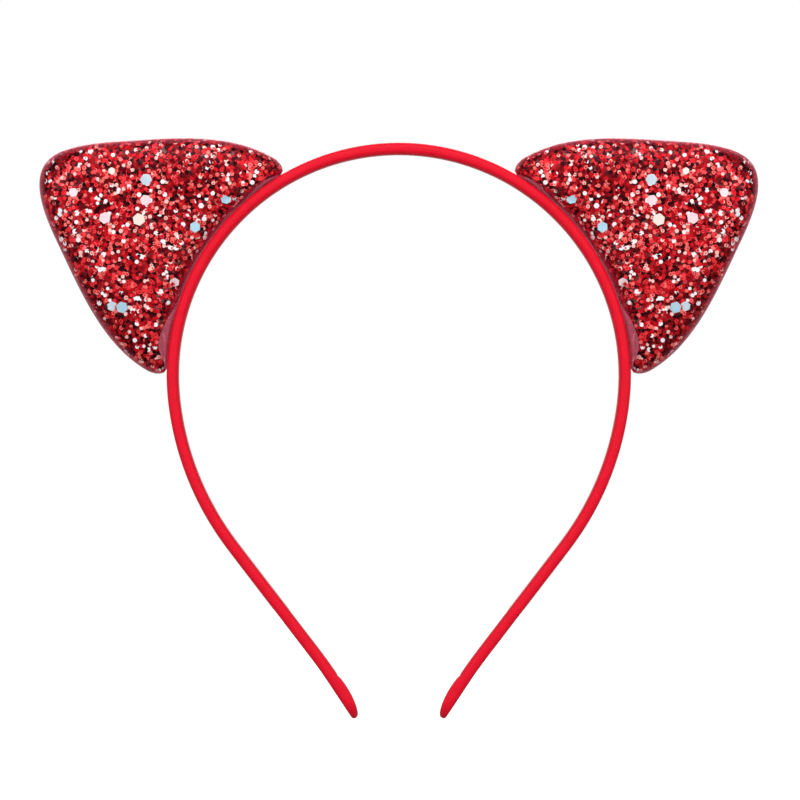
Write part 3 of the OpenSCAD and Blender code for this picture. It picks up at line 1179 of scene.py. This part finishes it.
@dataclass(frozen=True)
class Glitter:
    """How one face's flakes lie and how their colours are picked.

    Rises, radii and heights are in millimetres. A shade is a painted shade: the share by which
    the pick of bright foils falls over a zone, and each zone is given by its two ends.
    """

    seed: int = 11
    count: int = 6400
    on_top: int = 2900
    radius: float = 0.54
    thickness: float = 0.04
    jitter: float = 0.002
    tilt: float = 0.07
    top_rise: tuple = (0.12, 0.24)
    low_rise: tuple = (0.02, 0.1)
    radius_spread: tuple = (0.86, 1.1)
    frost_spread: tuple = (0.9, 1.3)
    rim_sink: float = 0.7
    sink_zone: tuple = (0.78, 0.95)
    rim_shade: float = 0.35
    shade_zone: tuple = (0.72, 0.95)
    upper_shade: float = 0.5
    upper_zone: tuple = (44, 57)
    # A slow wave of painted light over the ear: its middle and its swing.
    wave: tuple = (0.62, 0.38)
    wave_across: tuple = (0.13, 1.1)
    wave_out: tuple = (0.11, -0.4)
    bright_pick: tuple = (0.3, 1.2)
    # Upper flakes pick the bright foils more, and lower ones, in their shade, less: painted shade on the
    # lower flakes.
    top_pick: float = 1.35
    low_pick: float = 0.3
    # The eyes: smaller darker plates on bright flakes, painting the ring reflection of a cupped flake.
    painted_ring_share: float = 0.4
    painted_ring_size: float = 0.45
    painted_ring_rise: float = 0.03
    painted_ring_foils: int = 3
    painted_ring_darker_by: int = 2

    def light(self, places: np.ndarray, out: np.ndarray, height: np.ndarray) -> np.ndarray:
        """How bright each flake's foil may be: painted light and shade.

        A slow product of two sines over the ear, a wave of painted light, less the painted shade
        of the rim and of the upper edge.

        Args:
            places: The flakes' places, as (across, outwards, depth).
            out: The share of the way out at each place.
            height: Each place's height in the headband's frame.

        Returns:
            One value for each place, about 0 to 1.
        """
        across = np.sin(places[:, 0] * self.wave_across[0] + self.wave_across[1])
        outwards = np.sin(places[:, 1] * self.wave_out[0] + self.wave_out[1])
        light = self.wave[0] + self.wave[1] * across * outwards
        light *= 1 - self.rim_shade * smoothstep(out, *self.shade_zone)
        return light * (1 - self.upper_shade * smoothstep(height, *self.upper_zone))

    def picks(self, light: np.ndarray, on_top: np.ndarray, draw: np.ndarray) -> np.ndarray:
        """Picks a foil for each flake, by where its draw falls in the running shares.

        Args:
            light: How bright each flake's foil may be, as painted light and shade.
            on_top: Whether each flake is one of the upper ones.
            draw: A random number from 0 to 1 for each flake.

        Returns:
            The place of each flake's foil in FLAKE_FOILS.
        """
        shares = np.array([foil.share for foil in FLAKE_FOILS])
        bright = np.arange(len(shares)) >= DIM_FOILS
        pick = self.bright_pick[0] + self.bright_pick[1] * light[:, None]
        weights = shares[None] * np.where(bright[None], pick, 1.0)
        weights[:, DIM_FOILS + 1:] *= np.where(on_top, self.top_pick, self.low_pick)[:, None]
        bands = np.cumsum(weights / weights.sum(axis=1, keepdims=True), axis=1)
        return np.minimum((bands < draw[:, None]).sum(axis=1), FROST)


@dataclass(frozen=True)
class GlueBead:
    """The section of the glue along an ear's base, in millimetres.

    A share along the base runs from -1 at its upper end to 1 at its lower end.
    """

    width: float = 0.35
    lower_width: float = 1.75
    lower_zone: tuple = (0.42, 0.75)
    upper_width: float = 0.5
    upper_zone: tuple = (0.6, 0.85)
    end_fade: float = 0.85
    end_zone: tuple = (0.84, 1.0)
    ripples: tuple = ((0.12, 23), (0.08, 51))
    seat: float = 0.9
    sunk: float = 0.04
    stretched_foot: float = 3.5
    foot_share: float = 0.95
    bulge: float = 0.55
    turn_width: float = 0.2
    turn_depth: tuple = (0.5, 0.2)
    lap: float = 0.05
    stations: int = 90
    bulge_points: int = 10

    def widths(self, bearing: np.ndarray, share: np.ndarray) -> np.ndarray:
        """The bead's width: thin along the middle, wider towards both ends, faded at them.

        Args:
            bearing: Angles from the ear's middle line, in radians.
            share: The same places as shares along the base.

        Returns:
            One width for each place, as a column.
        """
        size = 1 - self.end_fade * smoothstep(np.abs(share), *self.end_zone)
        size *= 1 + sum(height * np.sin(bearing * rate) for height, rate in self.ripples)
        width = self.width + self.lower_width * smoothstep(share, *self.lower_zone)
        width += self.upper_width * smoothstep(-share, *self.upper_zone)
        return (width * size)[:, None]


def hexagons(places: np.ndarray, normals: np.ndarray, radius: np.ndarray,
             thick: float, spin: np.ndarray, slots: np.ndarray) -> Surface:
    """Thin six-sided plates, one at each place, facing along its normal.

    Two directions across each plate come from its normal and a fixed vector; the
    corners are at sixty degree steps from the plate's own spin.

    Args:
        places: Middles of the plates.
        normals: Unit normals.
        radius: Corner radii.
        thick: Thickness of every plate.
        spin: Turn of each plate, in radians.
        slots: Material slot of each plate.

    Returns:
        All plates as one surface of closed prisms.
    """
    helper = np.where(np.abs(normals[:, :1]) < 0.9, [[1.0, 0, 0]], [[0, 1.0, 0]])
    across = unit(np.cross(normals, helper))
    up = np.cross(normals, across)
    bearing = spin[:, None] + np.arange(6) * math.pi / 3
    ring = places[:, None] + radius[:, None, None] * (
        np.cos(bearing)[..., None] * across[:, None] + np.sin(bearing)[..., None] * up[:, None])
    half = normals[:, None] * thick / 2
    points = np.concatenate([ring + half, ring - half], axis=1).reshape(-1, 3)
    j = np.arange(6)
    sides = np.stack([j, j + 6, (j + 1) % 6 + 6, (j + 1) % 6], axis=-1).ravel()
    plate = np.concatenate([j, j[::-1] + 6, sides])
    corners = (plate[None] + 12 * np.arange(len(places))[:, None]).ravel()
    sizes = np.tile([6, 6] + [4] * 6, len(places))
    return Surface(points, corners, sizes, slots=np.repeat(slots, 8))


@dataclass
class Ear:
    """One ear: foam pad, two glitter skins, sequins, clear film and glue."""

    side: Side
    shape: EarShape = field(default_factory=EarShape)
    glitter: Glitter = field(default_factory=Glitter)
    glue_bead: GlueBead = field(default_factory=GlueBead)
    film_t: float = 0.2
    sequin_room: float = 0.35
    skin_t: float = 0.5
    glue_gap: float = 0.05
    foam_fill: float = 0.85
    foam_rings: int = 30
    skin_rings: int = 34
    film_rings: int = 60
    spread_rings: int = 90
    pucker: float = 0.12
    pucker_rise: tuple = (0.45, 0.8)
    pucker_fall: tuple = (0.86, 1.0)
    sequin_t: float = 0.08
    sequin_rise: float = 0.13
    sequin_step: float = 0.05

    def half_shell(self, outer: float, inner: float, rings: int, face: Face,
                   wave: float = 0.0) -> Surface:
        """A closed half shell of film or cloth between two padded surfaces.

        Args:
            outer: Inset of the outer face.
            inner: Inset of the inner face.
            rings: Rings on each face.
            face: The ear's front or back.
            wave: Height of the small puckers near the rim, in millimetres.

        Returns:
            The half shell in its place on the right.
        """
        faces = [self.shape.pad(outer, rings), self.shape.pad(inner, rings)]
        if wave:
            faces = [self.puckered(rows, wave) for rows in faces]
        rows = np.concatenate([faces[0], faces[1][::-1]])
        surface = tube(rows, self.shape.pole(outer), self.shape.pole(inner))
        return self.stood(surface.turned(), face)

    def puckered(self, rows: np.ndarray, wave: float) -> np.ndarray:
        """Lifts small radial puckers that grow towards the rim and vanish at it.

        The lift is a sum of three sines round the outline, times a hump over the share of
        the way out that is highest a little inside the rim.

        Args:
            rows: Rings of a padded surface.
            wave: The puckers' height.

        Returns:
            The rings, lifted along the depth and drawn in.
        """
        count, around, _ = rows.shape
        turn = np.linspace(0, 2 * math.pi, around, endpoint=False)[None]
        share = np.linspace(0, 1, count)[:, None]
        hump = smoothstep(share, *self.pucker_rise) * (1 - smoothstep(share, *self.pucker_fall))
        sines = sum(height * np.sin(rate * turn + shift) for rate, shift, height in PUCKERS)
        highest = sum(height for _, _, height in PUCKERS)
        lifted = rows.copy()
        lifted[..., 2] -= wave * hump * (1 + sines / highest) / 2
        return lifted

    def foam(self) -> Surface:
        """The foam pad: one crowned form, fullest in its middle, with its edge drawn in.

        Returns:
            The pad in its place on the right.
        """
        inset = self.film_t + self.sequin_room + self.skin_t + self.glue_gap
        front = self.shape.pad(inset, self.foam_rings)
        back = front[-2::-1] * [1, 1, -1]
        rows = np.concatenate([front, back])
        pole = self.shape.pole(inset)
        return self.stood(tube(rows, pole, pole * [1, 1, -1]).turned(), Face.FRONT)

    def spread(self, count: int, rng: np.random.Generator,
               inset: float) -> tuple[np.ndarray, np.ndarray, np.ndarray]:
        """Spreads places evenly over one face of the padded surface.

        A two-number additive sequence gives even pairs between 0 and 1. The first picks a
        band between two rings by its share of the area, and the second a place round it,
        and a little random shift hides the pattern. The normal is the cross product of the
        surface's two directions there.

        Args:
            count: How many places.
            rng: The random numbers to shift them with.
            inset: How far the surface lies inside the ear's outer face.

        Returns:
            Places, unit normals, and the share of the way out at each place.
        """
        rows = self.shape.pad(inset, self.spread_rings)
        middle = np.broadcast_to(self.shape.pole(inset), rows[:1].shape)
        rows = np.concatenate([middle, rows])
        grown = np.concatenate([rows, rows[:, :1]], axis=1)
        along = grown[:-1, 1:] - grown[:-1, :-1]
        along2 = grown[1:, 1:] - grown[1:, :-1]
        out = grown[1:, :-1] - grown[:-1, :-1]
        area = np.linalg.norm(np.cross(along + along2, out), axis=-1) / 2
        n = np.arange(count)
        first, second = (
            (0.5 + n * step + rng.normal(0, self.glitter.jitter, count)) % 1 for step in EVEN_STEPS)
        by_ring = running(area.sum(axis=1))
        at = np.interp(first, by_ring / by_ring[-1], np.arange(len(by_ring)))
        ring = np.minimum(at.astype(int), len(area) - 1)
        round_it = np.concatenate([np.zeros((len(area), 1)), np.cumsum(area, axis=1)], axis=1)
        round_it /= round_it[:, -1:]
        column = (round_it[ring] < second[:, None]).sum(axis=1) - 1
        low, high = round_it[ring, column], round_it[ring, column + 1]
        u, w = (at - ring)[:, None], ((second - low) / (high - low))[:, None]
        corners = grown[ring, column], grown[ring, column + 1]
        outer = grown[ring + 1, column], grown[ring + 1, column + 1]
        near = corners[0] * (1 - w) + corners[1] * w
        far = outer[0] * (1 - w) + outer[1] * w
        places = near * (1 - u) + far * u
        normals = np.cross(outer[1] - outer[0] + NUDGE, far - near)
        normals *= np.sign(normals[:, 2:3] + SIGN_NUDGE)
        return places, unit(normals), at / len(area)

    def flake_layer(self, face: Face) -> Surface:
        """The glitter of one face: overlapping flakes in all the foil colours.

        Each flake lies on the padded surface, raised and tilted a little. Some of the
        brighter flakes carry a smaller and darker one as an eye, a painted ring reflection.

        Args:
            face: The ear's front or back.

        Returns:
            The flakes in their places on the right.
        """
        glitter, count = self.glitter, self.glitter.count
        rng = np.random.default_rng(glitter.seed + face.value)
        places, normals, out = self.spread(count, rng, self.film_t + self.sequin_room)
        facing = unit(normals + rng.normal(0, glitter.tilt, (count, 3)))
        on_top = np.arange(count) < glitter.on_top
        top_rise, low_rise = rng.uniform(*glitter.top_rise, count), rng.uniform(*glitter.low_rise, count)
        rise = np.where(on_top, top_rise, low_rise)
        rise *= 1 - glitter.rim_sink * smoothstep(out, *glitter.sink_zone)
        # Painted light and shade: dimmer foils at the rim and high on the ear, brighter ones on a slow
        # wave.
        light = glitter.light(places, out, self.shape.upright(places)[:, 2])
        slots = glitter.picks(light, on_top, rng.uniform(0, 1, count))
        radius = glitter.radius * rng.uniform(*glitter.radius_spread, count)
        radius = np.where(slots == FROST, radius * rng.uniform(*glitter.frost_spread, count), radius)
        spin = rng.uniform(0, math.pi / 3, count)
        spots = places + normals * rise[:, None]
        plates = hexagons(spots, facing, radius, glitter.thickness, spin, slots)
        # Painted ring reflection: a smaller, darker plate on some of the brighter flakes.
        tinted = (slots >= FROST - glitter.painted_ring_foils) & (slots < FROST)
        painted_ring_flakes = tinted & (rng.uniform(0, 1, count) < glitter.painted_ring_share)
        painted_ring_centres = hexagons(
            (spots + facing * glitter.painted_ring_rise)[painted_ring_flakes], facing[painted_ring_flakes], radius[painted_ring_flakes] * glitter.painted_ring_size,
            glitter.thickness, spin[painted_ring_flakes], slots[painted_ring_flakes] - glitter.painted_ring_darker_by)
        return self.stood(joined([plates, painted_ring_centres]), face)

    def laid(self, spots: tuple, face: Face) -> Surface:
        """Lays sequins on one face at the height of the padded surface there.

        The height at a share s of the way out is the top times the root of 1 - s^flatness,
        and the normal comes from the slope of that curve along the way out.

        Args:
            spots: Rows of across, outwards, radius and tint.
            face: The ear's front or back.

        Returns:
            The sequins of that face.
        """
        spots = np.array(spots)
        inset = self.film_t + self.sequin_room / 2
        line = self.shape.inset(inset) - self.shape.centre
        way = spots[:, :2] - self.shape.centre
        bearing = np.arctan2(way[:, 1], way[:, 0])
        line_bearing = np.arctan2(line[:, 1], line[:, 0])
        order = np.argsort(line_bearing)
        reach = np.interp(bearing, line_bearing[order], np.linalg.norm(line, axis=1)[order],
                          period=2 * math.pi)
        distance = np.linalg.norm(way, axis=1)
        share = distance / reach
        top, power = self.shape.half_t - inset, self.shape.flatness
        rise = np.sqrt(1 - share**power)
        slope = power / 2 * top * share ** (power - 1) / rise / reach
        lean = way / distance[:, None] * slope[:, None]
        normals = unit(np.concatenate([lean, np.ones((len(way), 1))], axis=1))
        places = np.concatenate([spots[:, :2], (top * rise)[:, None]], axis=1)
        lift = self.sequin_rise + self.sequin_step * (np.arange(len(spots)) % 2)
        places += normals * lift[:, None]
        tints = spots[:, 3].astype(int)
        plates = hexagons(places, normals, spots[:, 2], self.sequin_t, bearing, tints)
        return self.stood(plates, face)

    def glue(self) -> Surface:
        """Two soft beads of clear glue in the corner between the ear's base and the band.

        Each bead's section starts on the band, follows the inside of the ear's wall up to the
        wall's face, and comes back to the band along a bulging curve. The wall's depth at a
        width w is the ear's own profile at the share 1 - w / room, where room is the way from
        the base's tangent to the ear's middle. The bead widens towards the base's lower end,
        where the glue ran, and a little towards the upper end.

        Returns:
            Both beads in their places on the right.
        """
        bead, shape = self.glue_bead, self.shape
        spread_a = math.radians(shape.base_a)
        bearing = np.linspace(-spread_a, spread_a, bead.stations)
        width = bead.widths(bearing, bearing / spread_a)
        room = (shape.middle * np.cos(bearing) - shape.base_r)[:, None]
        wall = shape.half_t * np.sqrt(1 - (1 - width / room) ** shape.flatness) + bead.lap
        foot = np.minimum(wall, bead.stretched_foot) * bead.foot_share
        climb = np.linspace(1, 0, bead.bulge_points)[None]
        bulge = foot + (wall - foot) * climb**bead.bulge
        turn = bead.turn_depth[0] + bead.turn_depth[1] * wall
        rise = np.concatenate([np.zeros_like(width), bead.turn_width * width, width * climb], axis=1)
        depth = np.concatenate([np.full_like(width, bead.seat), turn, bulge], axis=1)
        radius = shape.base_r - bead.sunk + rise
        across, outwards = radius * np.sin(bearing)[:, None], radius * np.cos(bearing)[:, None]
        rings = np.stack([across, outwards, depth], axis=-1)
        return joined([
            self.stood(tube(rings, rings[0].mean(axis=0), rings[-1].mean(axis=0)), face)
            for face in Face])

    def stood(self, surface: Surface, face: Face) -> Surface:
        """Stands a surface made for the front up in its place on one face.

        Args:
            surface: The surface, as (across, outwards, depth).
            face: The ear's front or back.

        Returns:
            The surface on the right of the band, with its faces outwards on either face.
        """
        surface.points = self.shape.upright(surface.points, face)
        return surface.turned() if face is Face.BACK else surface

    def dress(self, surface: Surface, name: str, finishes: list[bpy.types.Material],
              sharp_above: float, part: str) -> bpy.types.Object:
        """Makes one of the ear's pieces, which rides on the side of the band.

        Args:
            surface: The piece's surface on the right.
            name: Its name after the side's word.
            finishes: Its materials.
            sharp_above: The angle past which an edge stays sharp.
            part: The name of the CAD part it stands for, after the side's word.

        Returns:
            The piece.
        """
        label = self.side.label
        piece = surface.mirrored(self.side).to_object(f"{label}_{name}", finishes, sharp_above)
        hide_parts(f"{label}_{part}")
        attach(piece, f"{label}_side")
        LOG.info("ear: %s", piece.name)
        return piece

    def build(self) -> None:
        """Makes the ear's pieces from the inside out."""
        pad = self.dress(self.foam(), "foam_pad", [Foam().build()], SOFT_EDGE, "ear_foam_pad")
        backing = [GlitterBacking().build()]
        foils = [foil.build() for foil in FLAKE_FOILS]
        film = [ClearFilm().build()]
        skin_in = self.film_t + self.sequin_room
        for face in Face:
            word = face.label
            cloth = self.half_shell(skin_in, skin_in + self.skin_t, self.skin_rings, face)
            self.dress(cloth, f"{word}_glitter_cloth", backing, SMOOTH_EDGE,
                       f"ear_{word}_glitter_skin")
            self.dress(self.flake_layer(face), f"{word}_glitter_flakes", foils, PLATE_EDGE,
                       f"ear_{word}_glitter_skin")
            cover = self.half_shell(0.0, self.film_t, self.film_rings, face, wave=self.pucker)
            self.dress(cover, f"{word}_film", film, SMOOTH_EDGE, f"ear_{word}_clear_film")
        tints = [tint.build() for tint in SEQUIN_TINTS]
        loose = joined([self.laid(FRONT_SEQUINS, Face.FRONT), self.laid(BACK_SEQUINS, Face.BACK)])
        self.dress(loose, "sequins", tints, PLATE_EDGE, "ear_sequins")
        # The glue's pink haze is partly its milky tint and partly painted reflection, as on the film.
        glue = ClearFilm(name="clear_glue", haze=(206, 84, 112), face_on=0.45, turned=0.8,
                         clear_until=0.1, roughness=0.1, gloss=1.0).build()
        self.dress(self.glue(), "glue_bead", [glue], SMOOTH_EDGE, "ear_glue_bead")


# ---- Stage ----

# Each panel's name, its place and size in metres, and its power in watts.
PANELS = (
    ("top_panel", (0.0, -0.9, 1.0), 0.9, 9.5),
    ("front_left_panel", (-0.8, -1.3, 0.3), 0.6, 5.2),
    ("front_right_panel", (0.8, -1.3, 0.3), 0.6, 5.2),
    ("back_panel", (0.0, 1.1, 0.7), 0.8, 6.0),
)


@dataclass(frozen=True)
class Studio:
    """The camera, a pale floor and soft lights from above, in front and behind."""

    view_width: float = 0.2
    distance: float = 1.9
    centre_x: float = 0.0003
    centre_z: float = -0.00625
    floor_r: float = 1.0
    floor_gap: float = 0.0004
    sky: float = 0.5
    floor_glow: float = 0.45

    def camera(self) -> None:
        """A long lens, level with the headband, that frames the view width at the origin."""
        data = bpy.data.cameras.new("camera")
        data.sensor_width = 36.0
        data.lens = data.sensor_width * self.distance / self.view_width
        data.clip_start, data.clip_end = 0.05, 20.0
        camera = linked("camera", data)
        camera.location = (self.centre_x, -self.distance, self.centre_z)
        camera.rotation_euler = (math.pi / 2, 0, 0)
        bpy.context.scene.camera = camera

    def floor(self) -> None:
        """A round pale floor just under the band's tips."""
        low = CAD_BOX[0][2]
        turn = np.linspace(0, 2 * math.pi, 96, endpoint=False)
        rim = np.stack([np.cos(turn), np.sin(turn), np.zeros_like(turn)], axis=-1) * self.floor_r
        mesh = bpy.data.meshes.new("floor")
        mesh.from_pydata((rim + [0, 0, low - self.floor_gap]).tolist(), [], [list(range(len(rim)))])
        mesh.materials.append(self.floor_paint())
        linked("floor", mesh)

    def floor_paint(self) -> bpy.types.Material:
        """Pale paint that looks evenly white itself but throws only half of its light back,
        and is clear from below.

        Returns:
            The floor's material.
        """
        tree = new_tree("pale_floor")
        seen = tree.principled(Roughness=0.8, Base_Color=(0.95, 0.95, 0.95, 1),
                               Emission_Color=(1, 1, 1, 1), Emission_Strength=self.floor_glow)
        bounce = tree.add("ShaderNodeBsdfDiffuse", Color=(0.45, 0.45, 0.45, 1))
        above = tree.mix_shaders(tree.add("ShaderNodeLightPath"), "Is Camera Ray", bounce, seen)
        clear = tree.add("ShaderNodeBsdfTransparent")
        return tree.finish(tree.mix_shaders(
            tree.add("ShaderNodeNewGeometry"), "Backfacing", above, clear))

    def lights(self) -> None:
        """A white sky that the camera sees as pure white, and four soft panels."""
        tree = NodeTree(bpy.data.worlds.new("studio"), "ShaderNodeOutputWorld")
        sky = tree.add("ShaderNodeBackground", Color=(1, 1, 1, 1), Strength=self.sky)
        seen = tree.add("ShaderNodeBackground", Color=(1, 1, 1, 1))
        path = tree.add("ShaderNodeLightPath")
        bpy.context.scene.world = tree.finish(tree.mix_shaders(path, "Is Camera Ray", sky, seen))
        for name, place, size, watts in PANELS:
            data = bpy.data.lights.new(name, "AREA")
            data.size, data.energy = size, watts
            light = linked(name, data)
            light.location = place
            light.rotation_euler = (-Vector(place)).to_track_quat("-Z", "Y").to_euler()


    def build(self) -> None:
        """Sets up the camera, the floor, the lights and plain colour handling."""
        self.camera()
        self.floor()
        self.lights()
        bpy.context.scene.view_settings.view_transform = "Standard"


def main() -> None:
    Studio().build()
    Band().build()
    for side in Side:
        Ear(side).build()


if __name__ == "__main__":
    main()
